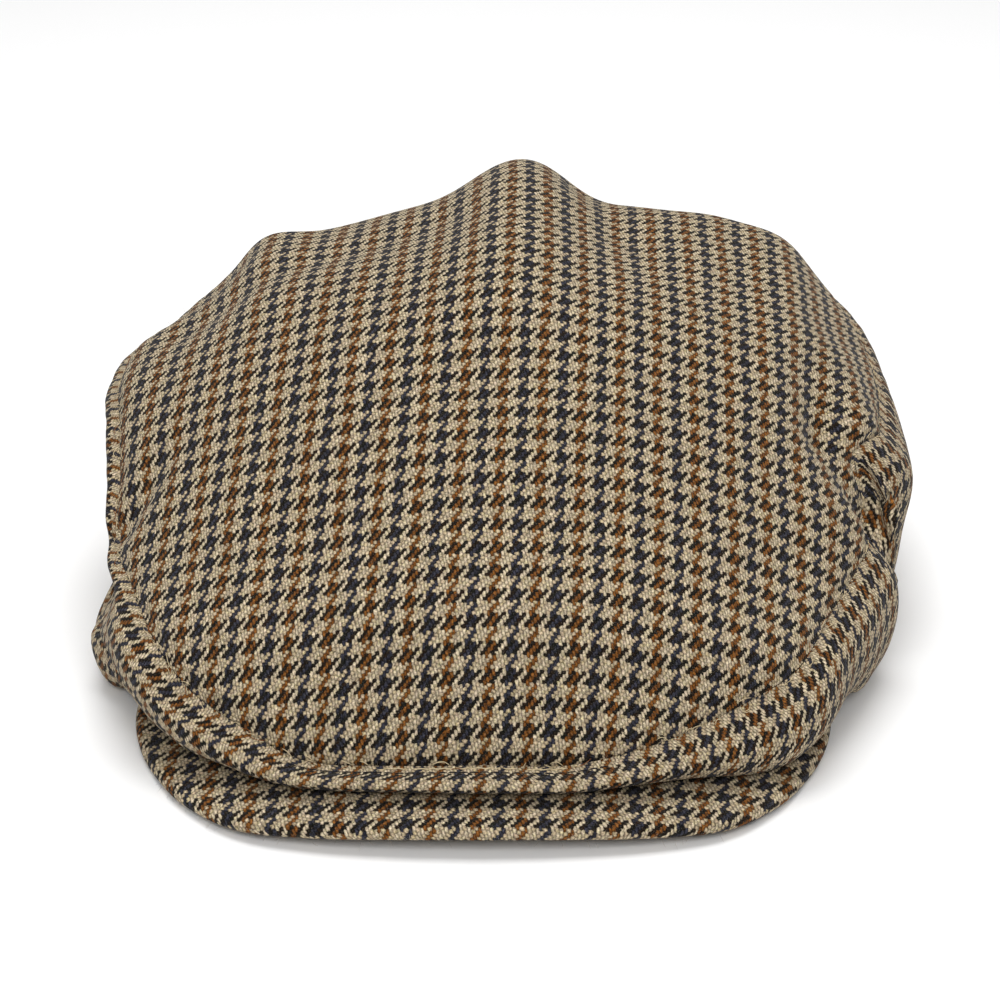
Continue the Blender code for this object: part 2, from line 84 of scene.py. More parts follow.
# Spine of the crown: shares of CROWN_LENGTH back from the front seam, and of the height above the peak
SPINE = (
    # back  height
    (0.013, 0.065),
    (0.034, 0.180),
    (0.056, 0.300),
    (0.088, 0.425),
    (0.190, 0.585),
    (0.302, 0.770),
    (0.444, 0.935),
    (0.560, 0.995),
    (0.690, 1.010),
    (0.820, 1.005),
    (0.914, 0.945),
    (1.000, 0.815),
)

# Sections across the spine, at shares of PANEL_LENGTH from the front: the middle's shift to the right as
# a share of PANEL_HALF_WIDTH, then for each side the slope beside the spine, the slope at a side seam and
# how far the drop leans back from plumb, all in degrees
SECTIONS = (
    # along  shift  ridge_l  ridge_r  turn_l  turn_r  lean_l  lean_r
    (0.00, 0.000, 5.0, 4.0, 38.0, 46.0, 46.0, 25.0),
    (0.10, 0.004, 9.0, 7.0, 44.0, 50.0, 46.0, 25.0),
    (0.20, 0.008, 10.0, 8.0, 46.0, 50.0, 44.0, 24.0),
    (0.35, 0.016, 10.0, 8.0, 46.0, 50.0, 33.0, 22.0),
    (0.50, 0.032, 7.5, 7.0, 44.0, 50.0, 25.0, 18.0),
    (0.65, 0.055, 4.5, 5.5, 47.5, 50.0, 16.0, 12.0),
    (0.80, 0.070, 4.0, 3.0, 53.0, 52.5, 6.0, 6.0),
    (1.00, 0.080, 6.0, 2.0, 56.0, 60.0, -20.0, -20.0),
)
SECTION_POWER = 1.7
SPINE_ROUND = 0.11

# Outline of the top panel's pattern piece, clockwise from the front: shares of PANEL_HALF_WIDTH and
# of PANEL_LENGTH
NOTCHES = (
    # side    along
    (0.000, 0.000),
    (-0.190, 0.001),
    (-0.370, 0.010),
    (-0.515, 0.050),
    (-0.655, 0.100),
    (-0.750, 0.160),
    (-0.828, 0.229),
    (-0.905, 0.305),
    (-0.912, 0.397),
    (-0.935, 0.490),
    (-0.982, 0.600),
    (-0.955, 0.700),
    (-0.840, 0.820),
    (-0.610, 0.930),
    (-0.320, 0.985),
    (0.000, 1.000),
    (0.340, 0.985),
    (0.640, 0.930),
    (0.860, 0.830),
    (0.960, 0.710),
    (0.985, 0.600),
    (0.958, 0.510),
    (0.875, 0.442),
    (0.945, 0.395),
    (0.932, 0.352),
    (0.870, 0.295),
    (0.780, 0.225),
    (0.675, 0.141),
    (0.527, 0.082),
    (0.330, 0.026),
    (0.165, 0.002),
)

# Folds of the top panel: from one point of the cloth to another, as shares like the notches. Rises are
# shares of RIDGE_HEIGHT, widths of PANEL_HALF_WIDTH
PANEL_FOLDS = (
    # name             side   along  rise   side   along  rise   width
    ("centre ridge",   0.00,  0.42,  0.00,  0.02,  0.92,  1.00,  0.150),
    ("ridge valley",   0.17,  0.88, -0.20,  0.33,  0.66, -0.10,  0.080),
    ("right shoulder", 0.42,  0.60,  0.00,  0.50,  0.86,  0.25,  0.110),
    ("right corner",   0.70,  0.52,  0.10,  0.66,  0.84,  0.40,  0.110),
    ("right drape",    0.70,  0.60,  0.00,  0.77,  0.45, -0.28,  0.065),
    ("drape to seam",  0.79,  0.43, -0.10,  0.94,  0.38, -0.42,  0.060),
    ("right puff",     0.84,  0.60,  0.10,  0.90,  0.50,  0.25,  0.080),
    ("brow",           0.10,  0.15,  0.04,  0.84,  0.35,  0.10,  0.070),
    ("left valley",   -0.80,  0.63, -0.12, -0.17,  0.76, -0.10,  0.070),
    ("left horizon",  -0.92,  0.70, -0.10, -0.72,  0.78, -0.12,  0.070),
    ("left pull",     -0.68,  0.44, -0.02, -0.88,  0.32, -0.26,  0.045),
    ("left shoulder", -0.55,  0.55,  0.00, -0.61,  0.82,  0.40,  0.100),
    ("left corner",   -0.86,  0.40,  0.00, -0.96,  0.70,  0.26,  0.100),
)

# Side band, by share of the way round the seam from the back by the left side. Three places on the way
# down: how far each lies outside the seam, as a share of BAND_BULGE, and how far down from the seam to
# what the band rests on
BAND = (
    # round  brow_out  brow_down  bulge_out  bulge_down  foot_out  foot_down
    (0.000,  0.40, 0.18,  0.95, 0.50,  0.95, 0.84),
    (0.125,  0.40, 0.18,  0.80, 0.50,  0.70, 0.86),
    (0.190,  0.20, 0.18,  0.40, 0.50,  0.30, 0.87),
    (0.250,  0.16, 0.18,  0.22, 0.50,  0.10, 0.88),
    (0.281,  0.02, 0.18, -0.06, 0.66,  0.02, 0.92),
    (0.312,  0.02, 0.14,  0.60, 0.74,  0.16, 0.94),
    (0.330,  0.10, 0.14,  0.86, 0.58,  0.20, 0.94),
    (0.345,  0.32, 0.13,  0.82, 0.54,  0.20, 0.94),
    (0.360,  0.58, 0.14,  0.68, 0.58,  0.22, 0.90),
    (0.375,  0.68, 0.16,  0.62, 0.54,  0.20, 0.84),
    (0.406,  0.62, 0.18,  0.68, 0.46,  0.46, 0.72),
    (0.438,  0.36, 0.15,  0.64, 0.33,  0.56, 0.49),
    (0.500,  0.39, 0.15,  0.68, 0.31,  0.61, 0.45),
    (0.562,  0.41, 0.16,  0.69, 0.38,  0.59, 0.57),
    (0.594,  0.58, 0.18,  0.84, 0.52,  0.66, 0.84),
    (0.625,  0.62, 0.18,  0.76, 0.54,  0.34, 0.88),
    (0.656,  0.62, 0.16,  0.75, 0.54,  0.30, 0.92),
    (0.688,  0.48, 0.16,  0.72, 0.52,  0.25, 0.92),
    (0.720,  0.80, 0.16,  0.95, 0.45,  0.45, 0.90),
    (0.750,  0.66, 0.16,  0.70, 0.48,  0.30, 0.88),
    (0.875,  0.40, 0.18,  0.80, 0.50,  0.70, 0.86),
    (1.000,  0.40, 0.18,  0.95, 0.50,  0.95, 0.84),
)

# Outer edge of the peak from its tip to its end: shares of half PEAK_WIDTH and of PEAK_RUN
PEAK_OUTLINE = (
    # side  back
    (0.000, 0.000),
    (0.230, 0.008),
    (0.450, 0.030),
    (0.650, 0.082),
    (0.802, 0.198),
    (0.900, 0.329),
    (0.965, 0.461),
    (1.000, 0.608),
    (0.985, 0.746),
    (0.920, 0.882),
    (0.790, 1.000),
)

# Folds of the side band: round the seam and down from it as shares, rises as shares of FOLD_DEPTH, and
# the width in millimetres
BAND_FOLDS = (
    # name           round  down   rise   round  down   rise  width
    ("left crease",  0.290, 0.22, -0.40,  0.365, 0.40, -1.00, 5.0),
    ("left roll",    0.300, 0.56,  0.30,  0.350, 0.56,  0.50, 9.0),
    ("right crease", 0.698, 0.00, -0.20,  0.712, 0.45, -0.90, 6.0),
    ("right roll",   0.735, 0.06,  0.10,  0.745, 0.25,  0.20, 12.0),
)
# Where the band's lines of points lie on the way from the seam to the rim
BAND_ROWS = np.append([0.0, 0.008, 0.018, 0.03, 0.045], np.linspace(0.06, 1.0, 44))

# How finely curves and surfaces are worked out
DRAPE_STEPS = 24
SPINE_POINTS = 600
RIM_POINTS = 81
PLAN_POINTS = 121
PATH_POINTS = 200
OUTLINE_POINTS = 960
PANEL_CELLS = 196
PEAK_SLICES = 200
PEAK_TOP_ROWS = 26
PEAK_LOW_ROWS = 14
NUDGE = 0.5

HEAD_MIDDLE = HEAD_SETBACK + HEAD_LENGTH / 2
PEAK_END_ANGLE = math.acos((HEAD_MIDDLE - (PEAK_RUN - PEAK_REACH)) / (HEAD_LENGTH / 2))
PANEL_MIDDLE = np.array([0.0, PANEL_LENGTH / 2])
INSIDE = np.array([0.0, CROWN_LENGTH * 0.5, CROWN_HEIGHT * 0.4])
SEAM_RADIUS = SEAM_LENGTH / 6.28

# Between its foot and the rim, the side band's share of height and the least gap below it
TUCK_SHARE = 0.6
TUCK_GAP = 0.4
# The band's folds fade over this share of its depth above the rim
FOLD_FADE = 0.25

# How far the band's top row lies inside and below the panel's edge, and how far that edge turns down
BAND_IN = 0.5
BAND_BELOW = 0.4
EDGE_TURN = 0.95
# Directions beside the seam are read over these cells and millimetres
EDGE_CELLS = 2
PANEL_STEP = 3.0
# From this distance to the seam on, the band is kept clear of what lies under it
CLEAR_FROM = 3.0

# Where the band's front hollow is filled, and how it fades, in shares of the seam's length
EASE_REACH = 0.125
EASE_FADE = 0.045
EASE_SHARE = 0.92
EASE_ROWS = 16
EASE_WAY_ROW = 12

# The peak's rounded edge: degrees at which it starts, and its largest share of the peak's depth
EDGE_START = 78.0
EDGE_SHARE = 0.3
WELD = 1e-6

# Slight unevenness of the soft cloth: its direction in degrees, wave length and height in millimetres
RIPPLES = (
    # turn  length  height  start
    (25.0, 61.0, 0.26, 0.4),
    (-35.0, 47.0, 0.20, 1.9),
    (72.0, 83.0, 0.30, 3.1),
    (-78.0, 36.0, 0.12, 5.2),
    (8.0, 27.0, 0.08, 2.6),
)
RIPPLE_FADE = 12.0
RIM_FADE = 30.0
# Puckers beside the seam: wave lengths along it, and their height, start and reach
PUCKERS = ((9.3, 0.4), (14.1, 2.1), (23.7, 4.4))
PUCKER_HEIGHT = 0.05
PUCKER_START = 3.0
PUCKER_REACH = 7.0

# Loose ends of yarn in the seam: how many, and the ranges of their length, lean, shift, lift and curl
LOOSE_YARNS = 210
YARN_RADIUS = 0.10
YARN_RANGES = ((1.2, 4.6), (-1.6, 1.6), (-1.4, 1.4), (0.12, 0.55), (-0.8, 0.8))
YARN_SEAT = 0.06
YARN_POINTS = 7
# The share of each kind of yarn and its colour
YARNS = {"cream": (0.66, (206, 188, 152)), "brown": (0.16, (128, 78, 40)), "dark": (0.18, (34, 33, 36))}
HAIR_COLOUR = (168, 160, 150)
# How thin a strand's two ends are, and a direction that no strand follows
TAPER = (0.6, 0.35)
ASIDE = np.array([0.31, 0.52, 0.79])
SEED = 11

# Single hairs: how many, the shortest and the longest, their spread and bend, and where their points lie
HAIR_RADIUS = 0.035
SEAM_HAIRS = (260, 0.5, 1.7)
RIM_HAIRS = (160, 0.4, 1.3)
PEAK_HAIRS = (80, 0.5, 2.0)
PEAK_HAIR_PLACES = (-0.5, 0.3)
PEAK_HAIR_DEPTHS = (0.3, 1.0)
HAIR_SPREAD = 0.45
HAIR_BEND = 0.5
HAIR_SHARES = (0, 0.35, 0.7, 1.0)

# The dark stitches below the front seam
STITCH_DROP = 3.1
STITCH_RUN = (-50.0, 30.0)
STITCH_LENGTH = 2.4
STITCH_STEP = 2.75
STITCH_RISE = 0.12
STITCH_SEAT = -0.02
STITCH_POINTS = 6
STITCH_RADIUS = 0.20

# The light thread in the front seam: where its lengths start and end, in millimetres from the middle, and
# its middle place, sway and turns across the seam and over it
SEAM_THREADS = ((-25.0, -19.5), (-18.0, -7.5), (-6.0, 3.5), (5.5, 9.0), (11.5, 22.0))
THREAD_ACROSS = (0.25, 0.12, 2.1)
THREAD_LIFT = (0.22, 0.08, 3.7)
THREAD_STEP = 0.8
THREAD_RADIUS = 0.17
# How far back the front part of the seam goes
FRONT_BACK = 20.0
# Rows of the band whose direction stands for that of the seam
NORMAL_ROW = 4
WAY_ROW = 5

# Cloth: threads per repeat of the check and per repeat of the twill, and the check's size across and along
THREADS = 8.0
TWILL = 4.0
REPEAT_ACROSS = 5.4
REPEAT_ALONG = 6.95
PEAK_STRETCH = 0.93

# Where the check starts on the top panel, and its further shift on the band and the peak, in millimetres
CHECK_START = (-1.4, 0.0)
BAND_SHIFT = (3.0, 0.0)
PEAK_SHIFT = (4.1, -1.5)

# How the top panel's cloth is pulled on the form, at shares of PANEL_LENGTH: sideways, and then lengthways
# at five places from left to right, all in millimetres
PULL_SIDES = (-0.70, -0.35, 0.0, 0.30, 0.75)
PULL = (
    # along  sideways  left  inner  middle  inner  right
    (0.00,   2.2,      4.5,  3.0,   0.0,   -0.8,   2.5),
    (0.10,   1.2,      4.5,  3.2,   0.0,   -0.8,   2.2),
    (0.25,   0.0,      4.0,  2.8,   0.2,   -1.3,   2.0),
    (0.35,  -0.3,      2.2,  2.3,   0.5,   -1.2,   2.6),
    (0.45,   0.1,      1.4,  2.1,   0.9,    0.2,   3.4),
    (0.55,   0.9,      2.2,  0.8,   0.3,    1.3,   4.2),
    (0.70,   2.5,      3.0,  1.0,   1.2,    1.6,   3.6),
    (1.00,   4.0,      3.0,  1.0,   1.2,    1.6,   3.6),
)

# Noises of the wool: how many per millimetre, levels of detail and roughness
NOISES = {
    "wander": (0.09, 2.0, 0.5),
    "jitter": (1.25, 2.0, 0.6),
    "patch": (0.35, 2.0, 0.5),
    "dye": (1.1, 3.0, 0.7),
    "fleck": (2.0, 3.0, 0.75),
    "hue": (1.3, 2.0, 0.7),
    "hair": (3.4, 2.0, 0.7),
    "fuzz": (5.0, 2.0, 0.7),
}
# Where two of them start for the weft, and how far they move the threads, in millimetres
WANDER_START = 71.0
JITTER_START = 33.0
WANDER = 1.5
JITTER = 0.95
# Cut-off and steepness for the dark patches, the depth of the dye, the two hues and the pale hairs
PATCH_RAMP = (0.35, 3.0)
DYE_RAMP = (0.36, 3.4)
OLIVE_FROM = 0.52
PINK_FROM = 0.48
HUE_STEEPNESS = 4.0
HAIR_RAMP = (0.57, 7.0)
HAIR_TONE = 0.34
# How far the floats lean and how long they look, in threads, their rounding, and how dark the painted shade
# in the gaps is
WARP_LEAN = 0.26
WEFT_LEAN = 0.30
WARP_FLOAT = 1.45
WEFT_FLOAT = 1.10
THREAD_ROUND = 3.2
FLOAT_LOW = -0.2
PAINTED_GAP_SHADE = 0.14
# How much the tone differs from thread to thread, along a thread and from float to float
TONE_CHANGE = 0.14
FLECK_CHANGE = 3.20
FLOAT_CHANGE = 0.50
TONE_START = -0.88
TONE_LIMITS = (0.30, 2.0)
# Relief of the threads in millimetres, and the share of the fuzz in it
BUMP_STRENGTH = 0.9
BUMP_DEPTH = 0.20
FUZZ_SHARE = 0.35
# Loose yarn: flecks per metre, and how much lighter and darker they are
YARN_NOISE = (900.0, 2.0, 0.6)
YARN_CHANGE = 0.25

# Floor, lamps and sky, in metres and watts
FLOOR_HALF = 8.0
FLOOR_DROP = 0.0002
SKY = 0.28
LAMP_TARGET = Vector((0.0, 0.0, 0.05))
LAMPS = (
    # name           place              size        power
    ("back_light", (0.0, 1.2, 1.3), (1.6, 0.9), 6.0),
    ("top_light", (0.0, 0.15, 1.9), (1.2, 0.9), 21.0),
    ("front_light", (0.0, -1.4, 1.35), (1.6, 0.9), 19.0),
)

# View of the photograph: degrees above the ground, distance and target in millimetres, lens on 36 mm film
VIEW_RISE = 25.0
VIEW_DISTANCE = 560.0
VIEW_TARGET = (4.6, 32.0, 77.5)
VIEW_LENS = 78.84
FILM_WIDTH = 36.0
VIEW_NEAR = 0.01

peak_low, peak_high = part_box("peak")
SHIFT = np.array([(peak_low[0] + peak_high[0]) / 2 / MM, peak_low[1] / MM + PEAK_REACH, 0.0])


def srgb(red, green, blue):
    """Linear colour from screen values."""
    def line(value):
        value = value / 255
        return value / 12.92 if value <= 0.04045 else ((value + 0.055) / 1.055) ** 2.4
    return (line(red), line(green), line(blue), 1.0)


CREAM = srgb(203, 187, 158)
CREAM_WEFT = srgb(190, 171, 140)
BROWN = srgb(146, 94, 42)
DEEP_BROWN = srgb(88, 52, 22)
NAVY = srgb(62, 63, 75)
DEEP_NAVY = srgb(33, 33, 41)
DARK_GREEN = srgb(26, 28, 24)
DARK_BROWN = srgb(40, 27, 17)
OLIVE_FLECK = (0.97, 1.0, 0.72, 1.0)
PINK_FLECK = (1.06, 0.96, 1.06, 1.0)
FUZZ = srgb(150, 142, 134)
SHEEN_TINT = (0.85, 0.83, 0.81, 1.0)
WHITE = (1.0, 1.0, 1.0, 1.0)
OFF_WHITE = (0.95, 0.95, 0.95, 1.0)


def unit(vectors):
    """Vectors of length one."""
    return vectors / np.linalg.norm(vectors, axis=-1, keepdims=True)


def soft_step(value):
    """Eases from 0 to 1."""
    value = np.clip(value, 0, 1)
    return value * value * (3 - 2 * value)


def lengths(points):
    """Distances along lines of points, from the first point on."""
    steps = np.linalg.norm(np.diff(points, axis=0), axis=-1)
    return np.concatenate([np.zeros((1,) + steps.shape[1:]), np.cumsum(steps, axis=0)])


def beside_line(dx, dy, way):
    """Share of the way along a line, and distance from it, for points given from the line's start."""
    t = np.clip((dx * way[0] + dy * way[1]) / way.dot(way), 0, 1)
    return t, np.hypot(dx - t * way[0], dy - t * way[1])


def curve(rows, column, at):
    """A smooth curve through one column of a table, read at a share of its first column."""
    table = np.array([[row[0], row[column]] for row in rows], float)
    return smooth(table[:, 0], table[:, 1], at)


def smooth(known, values, at):
    """Cubic curve through known places, with the slopes of the neighbouring chords."""
    at = np.clip(at, known[0], known[-1])
    step = np.diff(known)
    chord = np.diff(values) / step
    slope = np.empty_like(values)
    slope[0] = chord[0]
    slope[-1] = chord[-1]
    slope[1:-1] = (chord[:-1] * step[1:] + chord[1:] * step[:-1]) / (step[:-1] + step[1:])
    i = np.clip(np.searchsorted(known, at, side="right") - 1, 0, len(step) - 1)
    t = (at - known[i]) / step[i]
    start = (1 + 2 * t) * (1 - t) ** 2 * values[i] + t * (1 - t) ** 2 * step[i] * slope[i]
    end = t ** 2 * (3 - 2 * t) * values[i + 1] + t ** 2 * (t - 1) * step[i] * slope[i + 1]
    return start + end


def closed_curve(points, count):
    """A smooth closed curve through points, read at equal shares of its chord length from the first."""
    loop = np.array(points, float)
    loop = np.vstack([loop[-2:], loop, loop[:3]])
    along = lengths(loop)
    start, end = along[2], along[-3]
    at = start + (end - start) * np.arange(count) / count
    return np.stack([smooth(along, loop[:, k], at) for k in (0, 1)], axis=1)


def peak_sag(x, y):
    """How much lower the peak lies than its tip, from its arch across and its slope to the front."""
    return PEAK_ARCH * (x / (PEAK_WIDTH / 2)) ** 2 - (y + PEAK_REACH) * math.tan(math.radians(PEAK_SLOPE))


def peak_edge(share):
    """Plan of the peak's outer edge, from its left end (-1) through its tip (0) to its right end (1)."""
    known = np.linspace(0, 1, len(PEAK_OUTLINE))
    side, run = (smooth(known, column, np.abs(share)) for column in np.array(PEAK_OUTLINE).T)
    return np.sign(share) * side * PEAK_WIDTH / 2, run * PEAK_RUN - PEAK_REACH


def peak_top(x, y):
    """Height of the peak's upper side, whose lower edge just touches the surface at both sides."""
    deepest = peak_sag(*peak_edge(np.linspace(0, 1, RIM_POINTS))).max()
    return deepest + PEAK_THICKNESS - peak_sag(x, y)


def rim_plan(angle):
    """Plan of the head opening's edge; angle 0 is the front, and positive angles go to the right."""
    return HEAD_WIDTH / 2 * np.sin(angle), HEAD_MIDDLE - HEAD_LENGTH / 2 * np.cos(angle)


def spine(along):
    """Place of the crown's middle line, at a distance along the cloth."""
    shares = np.array(SPINE)
    seat = peak_top(0.0, 0.0) + SEAM_GAP
    known = np.arange(len(SPINE), dtype=float)
    fine = np.linspace(0, len(SPINE) - 1, SPINE_POINTS)
    back = smooth(known, shares[:, 0] * CROWN_LENGTH, fine)
    height = seat + smooth(known, shares[:, 1] * (CROWN_HEIGHT - seat), fine)
    run = lengths(np.stack([back, height], axis=1))
    at = along / PANEL_LENGTH * run[-1]
    before = np.minimum(at, 0.0)
    after = np.maximum(at - run[-1], 0.0)
    places = []
    for line in (back, height):
        first = (line[2] - line[0]) / (run[2] - run[0])
        last = (line[-1] - line[-3]) / (run[-1] - run[-3])
        places.append(np.interp(at, run, line) + before * first + after * last)
    return places


def draped(side, along):
    """Where the cloth of the top panel lies, without its folds."""
    share = along / PANEL_LENGTH
    left = side < 0
    ridge, turn, lean = (np.radians(np.where(left, curve(SECTIONS, k, share), curve(SECTIONS, k + 1, share)))
                         for k in (2, 4, 6))
    reach = np.zeros_like(side)
    drop = np.zeros_like(side)
    for i in range(DRAPE_STEPS):
        out = np.abs(side) / PANEL_HALF_WIDTH * (i + 0.5) / DRAPE_STEPS
        slope = ridge * np.tanh(out / SPINE_ROUND) + (turn - ridge) * out ** SECTION_POWER
        reach += np.cos(slope) * np.abs(side) / DRAPE_STEPS
        drop += np.sin(slope) * np.abs(side) / DRAPE_STEPS
    back, height = spine(along)
    x = curve(SECTIONS, 1, share) * PANEL_HALF_WIDTH + np.sign(side) * reach
    return np.stack([x, back + drop * np.sin(lean), height - drop * np.cos(lean)], axis=-1)


def fold_rise(folds, x, y, width, length, height, spread=1.0):
    """How far folds stand out of a cloth, whose places, rises and widths are shares of the given sizes."""
    rise = 0.0
    for _, x_a, y_a, rise_a, x_b, y_b, rise_b, breadth in folds:
        way = np.array([(x_b - x_a) * width, (y_b - y_a) * length])
        t, off = beside_line(x - x_a * width, y - y_a * length, way)
        rise += (rise_a + (rise_b - rise_a) * t) * height * np.exp(-(off / (breadth * spread)) ** 2)
    return rise


def seam_dip(away):
    """How deep the cloth dips beside the seam."""
    return SEAM_DIP * np.exp(-(away / SEAM_WIDTH) ** 2 * 4)


def panel_point(side, along, inset=None):
    """The top panel's outer surface, with its folds. Inset is the distance to the seam, where it dips."""
    here = draped(side, along)
    across = draped(side + NUDGE, along) - draped(side - NUDGE, along)
    ahead = draped(side, along + NUDGE) - draped(side, along - NUDGE)
    rise = fold_rise(PANEL_FOLDS, side, along, PANEL_HALF_WIDTH, PANEL_LENGTH, RIDGE_HEIGHT, PANEL_HALF_WIDTH)
    if inset is not None:
        rise = rise - seam_dip(inset)
    return here + unit(np.cross(across, ahead)) * rise[..., None]


def square_on_outline(outline, faces):
    """A square grid pulled out to an outline: its flat places, their shares of the way out, and that way."""
    u, v = np.meshgrid(np.linspace(-1, 1, faces + 1), np.linspace(-1, 1, faces + 1), indexing="ij")
    x = u * np.sqrt(1 - v ** 2 / 2)
    y = v * np.sqrt(1 - u ** 2 / 2)
    share = np.hypot(x, y)
    angle = np.mod(np.arctan2(x, y), math.tau)
    way = outline - PANEL_MIDDLE
    reach = np.interp(angle, np.arctan2(*way.T), np.linalg.norm(way, axis=1), period=math.tau)
    out = reach * share
    return PANEL_MIDDLE[0] + out * np.sin(angle), PANEL_MIDDLE[1] + out * np.cos(angle), share, reach


def seam_order(faces):
    """Grid places round the panel's edge, from the back's middle by the left side and the front, and back."""
    half = faces // 2
    corners = np.array([0, half, half + faces, half + 2 * faces, half + 3 * faces, 4 * faces])
    at = np.arange(4 * faces + 1)
    rows = np.interp(at, corners, [half, 0, 0, faces, faces, half])
    columns = np.interp(at, corners, [faces, faces, 0, 0, faces, faces])
    return np.rint([rows, columns]).astype(int)


def band_grid(seam, outward):
    """The side band's outer surface: one line of points down from each place on the seam."""
    round_share = np.arange(len(seam)) / (len(seam) - 1)
    angle = np.arctan2(seam[:, 0] / HEAD_WIDTH, (HEAD_MIDDLE - seam[:, 1]) / HEAD_LENGTH)
    rim_x, rim_y = rim_plan(angle)
    lap = soft_step(1 - (rim_y - PEAK_RUN + PEAK_REACH - PEAK_MARGIN) / LAP_END)
    rim = np.stack([rim_x, rim_y, lap * (peak_top(rim_x, rim_y) + SEAM_GAP)], axis=1)
    out = unit(np.stack([np.sin(angle), -np.cos(angle), 0 * angle], axis=1))
    fall = math.tan(math.radians(PEAK_SLOPE))
    along_peak = unit(out + np.array([0, 0, fall]) * out[:, 1:2])
    start = rim + RIM_BAND * (lap[:, None] * along_peak + (1 - lap)[:, None] * np.array([0, 0, 1.0]))
    start = rim + RIM_BAND * unit(start - rim)
    top = seam + outward * SEAM_GAP
    knots = [top, top + outward * SEAM_ROLL]
    for column in (1, 3, 5):
        away = curve(BAND, column, round_share)[:, None] * BAND_BULGE
        down = curve(BAND, column + 1, round_share)
        point = seam + out * away
        low = ground(point[:, 0], point[:, 1])
        point[:, 2] = seam[:, 2] + (low - seam[:, 2]) * down
        knots.append(point)
    tuck = knots[-1] * 0.5 + start * 0.5
    tuck[:, 2] = np.maximum(tuck[:, 2] * TUCK_SHARE, ground(tuck[:, 0], tuck[:, 1]) + TUCK_GAP)
    knots += [tuck, start]
    grid = fold_band(np.concatenate([through(knots, BAND_ROWS), [rim]]), round_share)
    grid[..., 2] = np.maximum(grid[..., 2], ground(grid[..., 0], grid[..., 1]))
    grid[-1, :, 2] = rim[:, 2]
    return grid


def through(knots, shares):
    """Rows of points on smooth curves through the knots, at shares of each curve's length."""
    lines = []
    for line in np.array(knots).swapaxes(0, 1):
        run = lengths(line)
        fine = np.linspace(0, run[-1], PATH_POINTS)
        path = np.stack([smooth(run, values, fine) for values in line.T], axis=1)
        length = lengths(path)
        lines.append([np.interp(shares * length[-1], length, values) for values in path.T])
    return np.moveaxis(lines, 2, 0)


def peak_plan():
    """Closed outline of the peak in plan: its outer edge, then the rim back."""
    edge = np.stack(peak_edge(np.linspace(-1, 1, PLAN_POINTS)), axis=1)
    rim = np.stack(rim_plan(np.linspace(PEAK_END_ANGLE, -PEAK_END_ANGLE, RIM_POINTS)), axis=1)
    return np.vstack([edge, rim])


def ground(x, y):
    """Height of what lies under the band: the peak with a gap, falling to the surface just outside it."""
    plan = peak_plan()
    apart = np.full(x.shape, 1e9)
    inside = np.zeros(x.shape, bool)
    for a, b in zip(plan, np.roll(plan, -1, axis=0)):
        way = b - a
        if not way.any():
            continue
        apart = np.minimum(apart, beside_line(x - a[0], y - a[1], way)[1])
        if way[1]:
            crossing = (a[1] > y) != (b[1] > y)
            inside ^= crossing & (x < a[0] + (y - a[1]) / way[1] * way[0])
    apart = np.where(inside, -apart, apart)
    return (peak_top(x, y) + SEAM_GAP) * soft_step(1 - (apart - PEAK_MARGIN) / PEAK_FALL)


def fold_band(grid, round_share):
    """Moves the band's points along its own normals by the folds and by the dip beside the seam."""
    across = np.gradient(grid, axis=1)
    downward = np.gradient(grid, axis=0)
    normal = unit(np.cross(downward, across))
    shares = np.append(BAND_ROWS, 1.0)[:, None]
    down = shares * BAND_DEPTH
    rise = fold_rise(BAND_FOLDS, round_share * SEAM_LENGTH, down, SEAM_LENGTH, BAND_DEPTH, FOLD_DEPTH)
    fade = np.clip((1 - shares) / FOLD_FADE, 0, 1)
    return grid + normal * (rise * fade - seam_dip(down))[..., None]


def seam_outward(side, along):
    """Direction in which the band leaves the panel: in the cloth's surface, square to the seam."""
    here = draped(side, along)
    across = draped(side + NUDGE, along) - here
    ahead = draped(side, along + NUDGE) - here
    run = np.gradient(np.vstack([here[-2:-1], here, here[1:2]]), axis=0)[1:-1]
    out = unit(np.cross(run, np.cross(across, ahead)))
    flip = np.sign(np.sum((here - here.mean(axis=0)) * out, axis=1))
    return out * flip[:, None]


